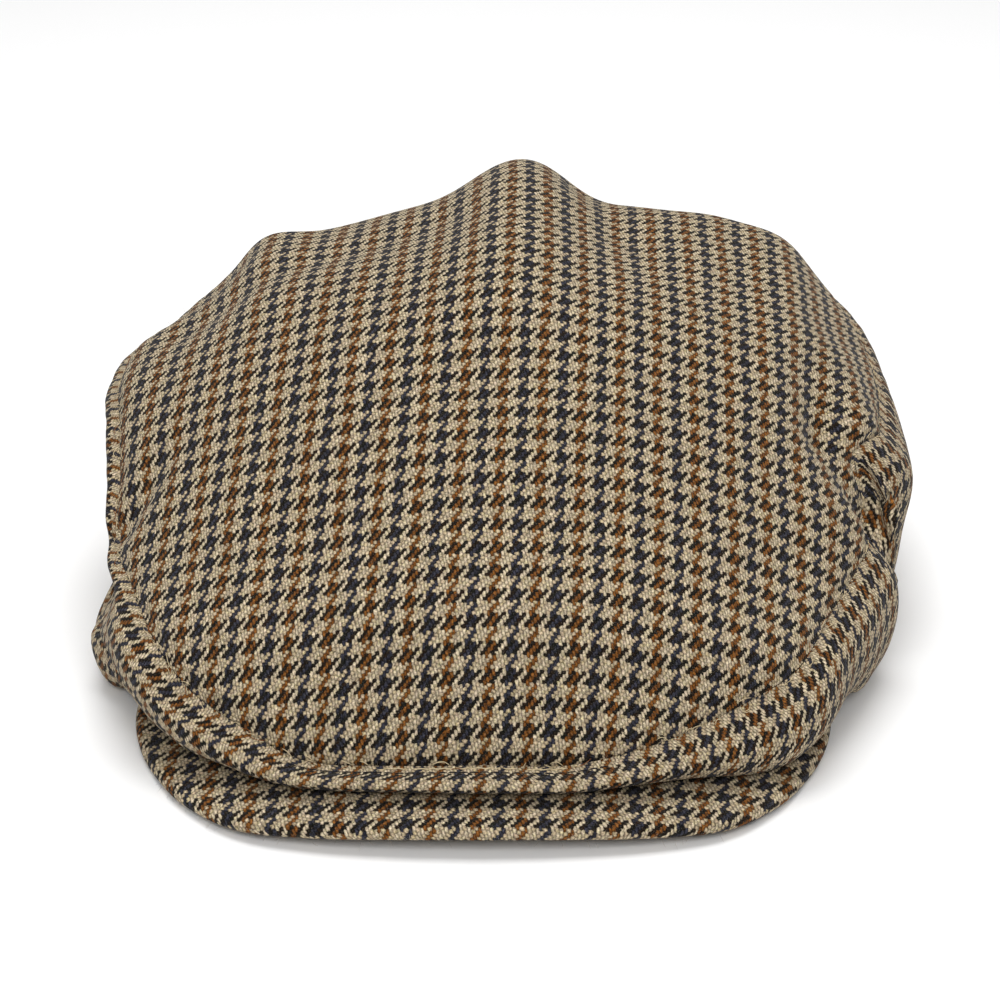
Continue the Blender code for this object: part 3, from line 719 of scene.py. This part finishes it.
class Graph:
    """Short calls for a material's nodes."""

    def __init__(self, name):
        self.material = bpy.data.materials.new(name)
        self.material.use_nodes = True
        self.tree = self.material.node_tree
        self.tree.nodes.clear()

    def node(self, kind, inputs=(), **settings):
        """A new node, with what is plugged into its inputs by name or place."""
        made = self.tree.nodes.new(kind)
        for name, value in settings.items():
            setattr(made, name, value)
        for name, value in dict(inputs).items():
            if isinstance(value, bpy.types.NodeSocket):
                self.tree.links.new(value, made.inputs[name])
            else:
                made.inputs[name].default_value = value
        return made

    def math(self, operation, *values, clamp=False):
        return self.node("ShaderNodeMath", enumerate(values), operation=operation, use_clamp=clamp).outputs[0]

    add = partialmethod(math, "ADD")
    sub = partialmethod(math, "SUBTRACT")
    mul = partialmethod(math, "MULTIPLY")
    mod = partialmethod(math, "FLOORED_MODULO")
    below = partialmethod(math, "LESS_THAN")

    def ramp(self, value, start, steepness):
        """From 0 at the start up to 1."""
        return self.math("MULTIPLY", self.sub(value, start), steepness, clamp=True)

    def tint(self, share, a, b, blend="MIX", kind="RGBA", first=6):
        """Colour, or number of the kind FLOAT, a where share is 0 and b where it is 1."""
        inputs = {0: share, first: a, first + 1: b}
        return self.node("ShaderNodeMix", inputs, data_type=kind, blend_type=blend).outputs[first // 3]

    def shade(self, colour, value):
        """The colour made darker or lighter."""
        return self.tint(1.0, colour, self.vector(value, value, value), "MULTIPLY")

    def rise(self, off, run, reach):
        """Height of a thread's float, by the ways off its middle line and along it from its middle."""
        round_off = self.sub(1.0, self.mul(self.mul(off, off), THREAD_ROUND))
        bow = self.sub(1.0, self.mul(self.mul(run, run), 1 / reach ** 2))
        return self.mul(round_off, self.math("MAXIMUM", bow, FLOAT_LOW))

    def noise(self, vector, scale, detail, rough):
        inputs = {"Vector": vector, "Scale": scale, "Detail": detail, "Roughness": rough}
        return self.node("ShaderNodeTexNoise", inputs).outputs["Fac"]

    def vector(self, x, y, z=0.0):
        return self.node("ShaderNodeCombineXYZ", enumerate((x, y, z))).outputs[0]

    def chance(self, value, seed):
        """A random number from 0 to 1 for each whole number."""
        inputs = {"Vector": self.vector(value, seed)}
        return self.node("ShaderNodeTexWhiteNoise", inputs, noise_dimensions="2D").outputs["Value"]

    def surface(self, inputs):
        """The finished material with its one shader."""
        shader = self.node("ShaderNodeBsdfPrincipled", inputs)
        self.node("ShaderNodeOutputMaterial", {0: shader.outputs[0]})
        return self.material


def check_cloth():
    """Wool in a two-by-two twill: four light and four dark threads each way, dark warps navy or brown."""
    g = Graph("gun_club_wool")
    place = g.node("ShaderNodeUVMap", uv_map="cloth").outputs[0]
    across, along, _ = g.node("ShaderNodeSeparateXYZ", {0: place}).outputs

    def thread(way, start, size, wander_place, jitter_place):
        """Threads counted in one direction. They wander a little, and single ones lie looser."""
        wander = g.sub(g.noise(wander_place, *NOISES["wander"]), 0.5)
        jitter = g.sub(g.noise(jitter_place, *NOISES["jitter"]), 0.5)
        moved = g.add(g.mul(wander, WANDER), g.mul(jitter, JITTER))
        return g.mul(g.add(g.add(way, start), moved), THREADS / size)

    a = thread(across, CHECK_START[0], REPEAT_ACROSS, place, place)
    b = thread(along, CHECK_START[1], REPEAT_ALONG, g.vector(g.add(along, WANDER_START), across),
               g.vector(g.add(along, JITTER_START), across))

    # each thread sways where it passes under its neighbours, so the floats lean
    turn = g.mul(g.sub(b, a), math.tau / TWILL)
    sway = g.math("SINE", g.add(turn, math.pi / 4))
    sway_too = g.math("SINE", g.sub(g.mul(turn, -1.0), math.pi * 5 / 4))
    a = g.add(a, g.mul(sway, WARP_LEAN * 2 / math.pi))
    b = g.add(b, g.mul(sway_too, WEFT_LEAN * 2 / math.pi))
    warp = g.math("FLOOR", a)
    weft = g.math("FLOOR", b)
    off_warp = g.sub(g.math("FRACT", a), 0.5)
    off_weft = g.sub(g.math("FRACT", b), 0.5)
    on_warp = g.sub(g.mod(g.add(g.sub(b, warp), TWILL / 2), TWILL), TWILL / 2)
    on_weft = g.sub(g.mod(g.sub(g.sub(a, weft), 1.0), TWILL), TWILL / 2)
    warp_top = g.rise(off_warp, on_warp, WARP_FLOAT)
    weft_top = g.rise(off_weft, on_weft, WEFT_FLOAT)
    on_top = g.below(weft_top, warp_top)
    relief = g.math("MAXIMUM", weft_top, warp_top)

    # colours of the threads
    dark_warp = g.below(g.mod(warp, THREADS), THREADS / 2)
    is_brown = g.below(g.mod(warp, 2 * THREADS), THREADS)
    dark_weft = g.below(g.mod(weft, THREADS), THREADS / 2)
    patch = g.ramp(g.noise(place, *NOISES["patch"]), *PATCH_RAMP)
    dye = g.ramp(g.noise(g.vector(g.add(across, 19.0), along), *NOISES["dye"]), *DYE_RAMP)
    dark = g.tint(is_brown, g.tint(dye, DEEP_NAVY, NAVY), g.tint(dye, DEEP_BROWN, BROWN))
    warp_colour = g.tint(dark_warp, CREAM, dark)
    weft_colour = g.tint(dark_weft, CREAM_WEFT, g.tint(patch, DARK_GREEN, DARK_BROWN))
    colour = g.tint(on_top, weft_colour, warp_colour)

    # each thread has its own tone, and the spun wool varies along it, with pale single fibres on top
    tone = g.tint(on_top, g.chance(weft, 3.0), g.chance(warp, 9.0), kind="FLOAT", first=2)
    fleck = g.noise(g.vector(across, along, 5.0), *NOISES["fleck"])
    float_tone = g.chance(g.add(g.mul(warp, 17.0), weft), 1.0)
    value = g.add(g.mul(tone, TONE_CHANGE), g.mul(fleck, FLECK_CHANGE))
    value = g.add(value, g.mul(float_tone, FLOAT_CHANGE))
    value = g.math("MINIMUM", g.math("MAXIMUM", g.add(value, TONE_START), TONE_LIMITS[0]), TONE_LIMITS[1])
    # painted shade: the colour is darker in the gaps between the threads and towards the edges and ends of
    # each float
    painted_thread_shade = g.math("MULTIPLY_ADD", g.math("MAXIMUM", relief, 0.0), 1.0 - PAINTED_GAP_SHADE, PAINTED_GAP_SHADE)
    colour = g.shade(colour, g.mul(value, painted_thread_shade))
    hue = g.noise(g.vector(along, across, 9.0), *NOISES["hue"])
    colour = g.tint(g.ramp(hue, OLIVE_FROM, HUE_STEEPNESS), colour, OLIVE_FLECK, "MULTIPLY")
    colour = g.tint(g.ramp(PINK_FROM, hue, HUE_STEEPNESS), colour, PINK_FLECK, "MULTIPLY")
    hair = g.noise(g.vector(across, along, 3.0), *NOISES["hair"])
    colour = g.tint(g.mul(g.ramp(hair, *HAIR_RAMP), HAIR_TONE), colour, FUZZ)

    fuzz = g.noise(g.vector(across, along, 2.0), *NOISES["fuzz"])
    height = g.add(relief, g.mul(fuzz, FUZZ_SHARE))
    inputs = {"Strength": BUMP_STRENGTH, "Distance": BUMP_DEPTH * MM, "Height": height}
    bump = g.node("ShaderNodeBump", inputs).outputs[0]
    return g.surface({"Base Color": colour, "Roughness": 0.88, "Specular IOR Level": 0.06, "Normal": bump,
                      "Sheen Weight": 0.12, "Sheen Roughness": 0.35, "Sheen Tint": SHEEN_TINT})


def dull(g, colour):
    """The finished material of a plain dull surface."""
    return g.surface({"Base Color": colour, "Roughness": 0.9, "Specular IOR Level": 0.1})


def plain_yarn(name, colour):
    """Loose wool yarn, a little uneven along its length, from screen values of its colour."""
    g = Graph(name)
    fleck = g.noise(g.node("ShaderNodeTexCoord").outputs["Object"], *YARN_NOISE)
    value = g.math("MULTIPLY_ADD", fleck, 2 * YARN_CHANGE, 1.0 - YARN_CHANGE)
    return dull(g, g.shade(srgb(*colour), value))


def linked(name, data):
    """A new object in the scene."""
    thing = bpy.data.objects.new(name, data)
    bpy.context.scene.collection.objects.link(thing)
    return thing


def piece(name, points, faces, material):
    """A smooth piece of the cap from points in millimetres."""
    mesh = bpy.data.meshes.new(name)
    mesh.from_pydata(((points + SHIFT) * MM).tolist(), [], faces)
    mesh.shade_smooth()
    mesh.materials.append(material)
    thing = linked(name, mesh)
    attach(thing, "root")
    return thing


def cloth_mesh(name, grid, cloth):
    """A surface from a grid of points, with the cloth's coordinates as its UV map."""
    rows, columns = grid.shape[:2]
    at = np.arange(rows * columns).reshape(rows, columns)
    quads = np.stack([at[:-1, :-1], at[:-1, 1:], at[1:, 1:], at[1:, :-1]], axis=-1).reshape(-1, 4)
    points = grid.reshape(-1, 3)
    normals = np.cross(points[quads[:, 2]] - points[quads[:, 0]], points[quads[:, 3]] - points[quads[:, 1]])
    if np.sum((points[quads].mean(axis=1) - INSIDE) * normals) < 0:
        quads = quads[:, ::-1]
    thing = piece(name, points, quads.tolist(), wool)
    layer = thing.data.uv_layers.new(name="cloth")
    layer.data.foreach_set("uv", cloth.reshape(-1, 2)[quads.reshape(-1)].astype(np.float32).ravel())
    return thing


def thicken(thing):
    """Gives a cloth its thickness, inwards."""
    shell = thing.modifiers.new("cloth", "SOLIDIFY")
    shell.thickness = CLOTH * MM
    shell.offset = -1.0
    shell.use_quality_normals = True


def ripple(side, along):
    """Slight unevenness of the soft cloth, in millimetres."""
    total = 0.0
    for turn, length, height, start in RIPPLES:
        angle = math.radians(turn)
        way = side * math.cos(angle) + along * math.sin(angle)
        total += height * np.sin(way * math.tau / length + start)
    return total


def pucker(run, away):
    """Small gathers that the seam draws into the cloth beside it."""
    wave = 0.0
    for length, start in PUCKERS:
        wave += np.sin(run * math.tau / length + start)
    return PUCKER_HEIGHT * wave * (away / PUCKER_START) * np.exp(-(away / PUCKER_REACH) ** 2)


def pulled(side, along):
    """The top panel's cloth coordinates, with the cloth pulled a little out of line by the form."""
    at = along / PANEL_LENGTH
    lengthways = 0.0
    for column, weights in enumerate(np.eye(len(PULL_SIDES)), 2):
        share = np.interp(side / PANEL_HALF_WIDTH, PULL_SIDES, weights)
        lengthways += curve(PULL, column, at) * share
    return np.stack([side + curve(PULL, 1, at), along + lengthways], axis=-1)


def turned_edge(points, cloth):
    """The panel with its edge turned down into the seam, as one more row of cells all round."""
    around = ((1, 1), (1, 1), (0, 0))
    normal = np.pad(normals_of(points), around, mode="edge")
    points = np.pad(points, around, mode="edge")
    cloth = np.pad(cloth, around, mode="edge")
    ring = np.ones(points.shape[:2], bool)
    ring[1:-1, 1:-1] = False
    points[ring] -= normal[ring] * CLOTH * EDGE_TURN
    cloth[ring] += unit(cloth[ring] - PANEL_MIDDLE) * CLOTH
    return points, cloth


def normals_of(grid):
    """Outward directions of a grid of points."""
    normal = unit(np.cross(np.gradient(grid, axis=0), np.gradient(grid, axis=1)))
    return normal * np.sign(np.sum((grid - INSIDE) * normal))


def top_panel():
    """Adds the top panel, and gives the places, points and directions at its edge."""
    outline = closed_curve([(s * PANEL_HALF_WIDTH, a * PANEL_LENGTH) for s, a in NOTCHES], OUTLINE_POINTS)
    side, along, share, reach = square_on_outline(outline, PANEL_CELLS)
    inset = (1 - share) * reach
    points = panel_point(side, along, inset)
    angle = np.arctan2(side, along - PANEL_LENGTH / 2)
    bump = ripple(side, along) * np.clip(inset / RIPPLE_FADE, 0, 1) + pucker(angle * SEAM_RADIUS, inset)
    points = points + normals_of(points) * bump[..., None]
    panel = cloth_mesh("crown_top_cloth", *turned_edge(points, pulled(side, along)))
    thicken(panel)
    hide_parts("top_panel")
    rows, columns = seam_order(PANEL_CELLS)
    last = PANEL_CELLS - EDGE_CELLS
    edge = points[rows, columns]
    inner = points[np.clip(rows, EDGE_CELLS, last), np.clip(columns, EDGE_CELLS, last)]
    return side[rows, columns], along[rows, columns], edge, inner, normals_of(points)[rows, columns]


def side_band(side, along, seam, edge, inner):
    """Adds the band, tucked under the panel's edge, and gives its points and its cloth's coordinates."""
    grid = band_grid(seam, seam_outward(side, along))
    grid[:, 0, 0] -= SEAM_GAP / 2
    grid[:, -1, 0] += SEAM_GAP / 2
    grid = eased(grid)
    grid[0] = edge + BAND_IN * unit(inner - edge) - np.array([0.0, 0.0, BAND_BELOW])
    run = lengths(np.stack([side, along], axis=1))
    front = np.argmin(np.where(along > PANEL_LENGTH / 2, np.inf, np.abs(side)))
    down = lengths(grid)
    cloth = np.stack([np.broadcast_to(run - run[front] + side[front], down.shape), -down - SEAM_GAP], axis=-1)
    away = down * np.clip((down[-1] - down) / RIM_FADE, 0, 1)
    rough = ripple(cloth[..., 0], cloth[..., 1]) * np.clip(away / RIPPLE_FADE, 0, 1)
    rough += pucker(cloth[..., 0], away)
    grid = grid + normals_of(grid) * rough[..., None]
    grid[..., 2] = np.maximum(grid[..., 2], ground(grid[..., 0], grid[..., 1]) * (down > CLEAR_FROM))
    band = cloth_mesh("side_band_cloth", grid, cloth + np.array(BAND_SHIFT))
    thicken(band)
    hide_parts("side_band")
    return grid, cloth


def eased(grid):
    """The band with the hidden hollow behind its front roll filled, so that it lies as one strip."""
    grid = grid.copy()
    shares = np.linspace(0, 1, grid.shape[1])
    weight = EASE_SHARE * np.clip((EASE_REACH - np.abs(shares - 0.5)) / EASE_FADE, 0, 1)
    for k in np.nonzero(weight)[0]:
        line = grid[:, k]
        flat = line[:, :2] - line[1, :2]
        out = flat @ unit(flat[EASE_WAY_ROW] - flat[0])
        last = int(np.argmax(out[:EASE_ROWS]))
        hull = [1]
        for r in range(2, last + 1):
            while len(hull) > 1:
                a, b = hull[-2], hull[-1]
                ahead = (out[b] - out[a]) * (line[r, 2] - line[a, 2])
                if ahead < (line[b, 2] - line[a, 2]) * (out[r] - out[a]):
                    break
                hull.pop()
            hull.append(r)
        level = np.interp(out[1:last + 1], out[hull], line[hull, 2])
        grid[1:last + 1, k, 2] += weight[k] * np.maximum(level - line[1:last + 1, 2], 0)
    return grid


def peak_profile(width):
    """Section of the peak, over its edge and back below: the way out, the height and the cloth's length."""
    half = PEAK_THICKNESS / 2
    bend = min(half, width * EDGE_SHARE)
    flat = width - bend
    profile = [(share * flat, half, share * flat) for share in np.linspace(0, 1, PEAK_TOP_ROWS)]
    for turn in np.radians(np.linspace(EDGE_START, -90, PEAK_LOW_ROWS)):
        run = flat + bend * (math.pi / 2 - turn)
        profile.append((flat + bend * math.cos(turn), half * math.sin(turn), run))
    under = profile[-1][2]
    for share in np.linspace(1, 0, PEAK_LOW_ROWS)[1:]:
        profile.append((share * flat, -half, under + (1 - share) * flat))
    profile.append((0.0, half, under + width))
    return profile


def peak_cover():
    """Adds the covered peak, with its cloth running round the outer edge to the underside."""
    shares = np.linspace(-1, 1, PEAK_SLICES + 1)
    edges = np.stack(peak_edge(shares), axis=1)
    rims = np.stack(rim_plan(shares * PEAK_END_ANGLE), axis=1)
    grid = []
    cloth = []
    for edge, inner in zip(edges, rims):
        width = np.linalg.norm(edge - inner)
        way = (edge - inner) / width
        out, height, length = np.array(peak_profile(width)).T
        x, y = inner[:, None] + way[:, None] * out
        grid.append(np.stack([x, y, peak_top(x, y) - PEAK_THICKNESS / 2 + height], axis=1))
        cloth.append((inner + way * length[:, None]) * PEAK_STRETCH)
    thing = cloth_mesh("peak_cloth", np.array(grid), np.array(cloth) + np.array(PEAK_SHIFT))
    build = bmesh.new()
    build.from_mesh(thing.data)
    bmesh.ops.remove_doubles(build, verts=build.verts, dist=WELD)
    bmesh.ops.holes_fill(build, edges=[e for e in build.edges if e.is_boundary], sides=0)
    bmesh.ops.recalc_face_normals(build, faces=build.faces)
    build.to_mesh(thing.data)
    build.free()
    thing.data.shade_smooth()
    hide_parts("peak")


def strands(name, lines, radius, material, sides):
    """One piece from many thin tubes, each along its own line of points."""
    points = []
    faces = []
    for line in lines:
        line = np.asarray(line)
        ahead = unit(np.gradient(line, axis=0))
        first = unit(np.cross(ahead, ASIDE))
        second = np.cross(ahead, first)
        taper = np.ones(len(line))
        taper[0], taper[-1] = TAPER
        base = len(points)
        for centre, one, other, thin in zip(line, first, second, taper):
            for turn in math.tau * np.arange(sides) / sides:
                points.append(centre + (one * math.cos(turn) + other * math.sin(turn)) * radius * thin)
        for a in range(base, base + (len(line) - 1) * sides, sides):
            for i in range(sides):
                j = (i + 1) % sides
                faces.append((a + i, a + j, a + sides + j, a + sides + i))
        faces.append(tuple(base + i for i in reversed(range(sides))))
        faces.append(tuple(base + (len(line) - 1) * sides + i for i in range(sides)))
    piece(name, np.array(points), faces, material)


def between(values, place):
    """The value at a place between two neighbours in a row of values."""
    k = min(int(place), len(values) - 2)
    f = place - k
    return values[k] * (1 - f) + values[k + 1] * f


def band_place(run, drop):
    """Point of the side band's surface and its outward direction, by distances along and below the seam."""
    column = np.interp(run, band_flat[0, :, 0], np.arange(band_flat.shape[1]))
    row = np.interp(drop, -band_flat[:, int(column), 1], np.arange(len(band_flat)))
    return [between(between(grid.swapaxes(0, 1), column), row) for grid in (band_points, band_normals)]


def seam_place(run, across, lift):
    """Point beside the seam: across is the way from it, above 0 to the band, and lift the height over it."""
    place = np.interp(run % seam_run[-1], seam_run, np.arange(len(seam_run)))
    up = unit(between(seam_normal, place))
    side = between(band_way if across > 0 else panel_way, place) * abs(across)
    return between(seam_line, place) + side + up * (lift - seam_dip(across))


def loose_yarns(chance):
    """Frayed ends and small loops of yarn that come out of the seam, by colour."""
    kinds = {kind: [] for kind in YARNS}
    shares = [share for share, _ in YARNS.values()]
    for _ in range(LOOSE_YARNS):
        start = chance.uniform(0, seam_run[-1])
        length, lean, shift, lift, curl = (chance.uniform(*ends) for ends in YARN_RANGES)
        line = []
        for t in np.linspace(0, 1, YARN_POINTS):
            bow = math.sin(t * math.pi)
            across = shift + lean * (t - 0.5) + curl * bow
            line.append(seam_place(start + (t - 0.5) * length, across, lift * bow + YARN_SEAT))
        kinds[chance.choice(list(YARNS), p=shares)].append(line)
    return kinds


def seam_threads():
    """The light sewing thread that shows in the front seam, in a few lengths."""
    front = seam_line[:, 1] < FRONT_BACK
    middle = np.interp(0.0, seam_line[front, 0], seam_run[front])
    lines = []
    for first, last in SEAM_THREADS:
        line = []
        for run in np.linspace(first, last, int((last - first) / THREAD_STEP) + 2):
            across, lift = (start + size * math.sin(run * turn)
                            for start, size, turn in (THREAD_ACROSS, THREAD_LIFT))
            line.append(seam_place(middle + run, across, lift))
        lines.append(line)
    return lines


def hairs(chance, places, ways, shortest, longest):
    """Thin hairs that stand out from places of the cloth."""
    lines = []
    for place, way in zip(places, ways):
        length = chance.uniform(shortest, longest)
        aim = unit(way + chance.normal(0, HAIR_SPREAD, 3))
        turn = unit(chance.normal(0, 1, 3))
        lines.append([place + aim * length * t + turn * length * HAIR_BEND * t * t for t in HAIR_SHARES])
    return lines


def fuzz_places(chance):
    """Fine hairs along the seam, the band's lower edge and the peak's outer edge."""
    at = chance.integers(0, len(seam_line) - 1, SEAM_HAIRS[0])
    lines = hairs(chance, seam_line[at], seam_normal[at], *SEAM_HAIRS[1:])
    at = chance.integers(0, len(seam_line) - 1, RIM_HAIRS[0])
    lines += hairs(chance, band_points[-1][at], band_normals[-2][at], *RIM_HAIRS[1:])
    x, y = peak_edge(chance.uniform(*PEAK_HAIR_PLACES, PEAK_HAIRS[0]))
    z = peak_top(x, y) - PEAK_THICKNESS * chance.uniform(*PEAK_HAIR_DEPTHS, PEAK_HAIRS[0])
    way = unit(np.stack([0.4 * x / np.abs(x).max(), 0 * x - 1.0, 0 * x - 0.5], axis=-1))
    lines += hairs(chance, np.stack([x, y, z], axis=-1), way, *PEAK_HAIRS[1:])
    lines = np.array(lines)
    lines[..., 2] = np.maximum(lines[..., 2], 2 * HAIR_RADIUS)
    return lines


def stitches():
    """Sunken dark stitches below the front seam."""
    lines = []
    for start in np.arange(*STITCH_RUN, STITCH_STEP):
        line = []
        for t in np.linspace(0, 1, STITCH_POINTS):
            place, way = band_place(start + t * STITCH_LENGTH, STITCH_DROP)
            line.append(place + way * (STITCH_RISE * math.sin(t * math.pi) + STITCH_SEAT))
        lines.append(line)
    return lines


def ground_and_light():
    """A pale floor, an even sky and soft lamps."""
    mesh = bpy.data.meshes.new("floor")
    corners = [(x * FLOOR_HALF, y * FLOOR_HALF, 0) for x, y in ((-1, -1), (1, -1), (1, 1), (-1, 1))]
    mesh.from_pydata(corners, [], [(0, 1, 2, 3)])
    floor = linked("floor", mesh)
    floor.location.z = -FLOOR_DROP
    mesh.materials.append(dull(Graph("pale_floor"), OFF_WHITE))

    world = bpy.data.worlds.new("studio")
    world.use_nodes = True
    sky = world.node_tree.nodes["Background"]
    sky.inputs["Color"].default_value = WHITE
    sky.inputs["Strength"].default_value = SKY
    bpy.context.scene.world = world
    for name, place, size, power in LAMPS:
        lamp = bpy.data.lights.new(name, "AREA")
        lamp.shape = "RECTANGLE"
        lamp.size, lamp.size_y = size
        lamp.energy = power
        thing = linked(name, lamp)
        thing.location = place
        thing.rotation_euler = (LAMP_TARGET - Vector(place)).to_track_quat("-Z", "Y").to_euler()


def camera():
    """The photograph's view: straight in front, a little above."""
    made = bpy.data.cameras.new("camera")
    made.lens = VIEW_LENS
    made.sensor_width = FILM_WIDTH
    made.clip_start = VIEW_NEAR
    thing = linked("camera", made)
    rise = math.radians(VIEW_RISE)
    target = Vector((np.array(VIEW_TARGET) + SHIFT) * MM)
    back = Vector((0.0, -math.cos(rise), math.sin(rise)))
    thing.location = target + back * VIEW_DISTANCE * MM
    thing.rotation_euler = (-back).to_track_quat("-Z", "Y").to_euler()
    bpy.context.scene.camera = thing
    bpy.context.scene.view_settings.view_transform = "Standard"


wool = check_cloth()
seam_side, seam_along, seam_edge, seam_inner, panel_normals = top_panel()
seam_line = panel_point(seam_side, seam_along)
band_points, band_flat = side_band(seam_side, seam_along, seam_line, seam_edge, seam_inner)
peak_cover()

# what the yarns, hairs and stitches follow
seam_flat = np.stack([seam_side, seam_along], axis=1)
step_in = seam_flat + PANEL_STEP * unit(PANEL_MIDDLE - seam_flat)
panel_way = unit(panel_point(*step_in.T) - seam_line)
band_way = unit(band_points[WAY_ROW] - seam_line)
band_normals = normals_of(band_points)
seam_normal = unit(band_normals[NORMAL_ROW] + panel_normals)
seam_run = lengths(seam_line)
yarns = {kind: plain_yarn(kind + "_yarn", colour) for kind, (_, colour) in YARNS.items()}
seeded = np.random.default_rng(SEED)
ends = loose_yarns(seeded)
strands("fine_hairs", fuzz_places(seeded), HAIR_RADIUS, plain_yarn("grey_hair", HAIR_COLOUR), 3)
for kind, lines in ends.items():
    strands("loose_yarns_" + kind, lines, YARN_RADIUS, yarns[kind], 5)
strands("front_stitches", stitches(), STITCH_RADIUS, yarns["dark"], 6)
strands("front_seam_thread", seam_threads(), THREAD_RADIUS, yarns["cream"], 6)
ground_and_light()
camera()
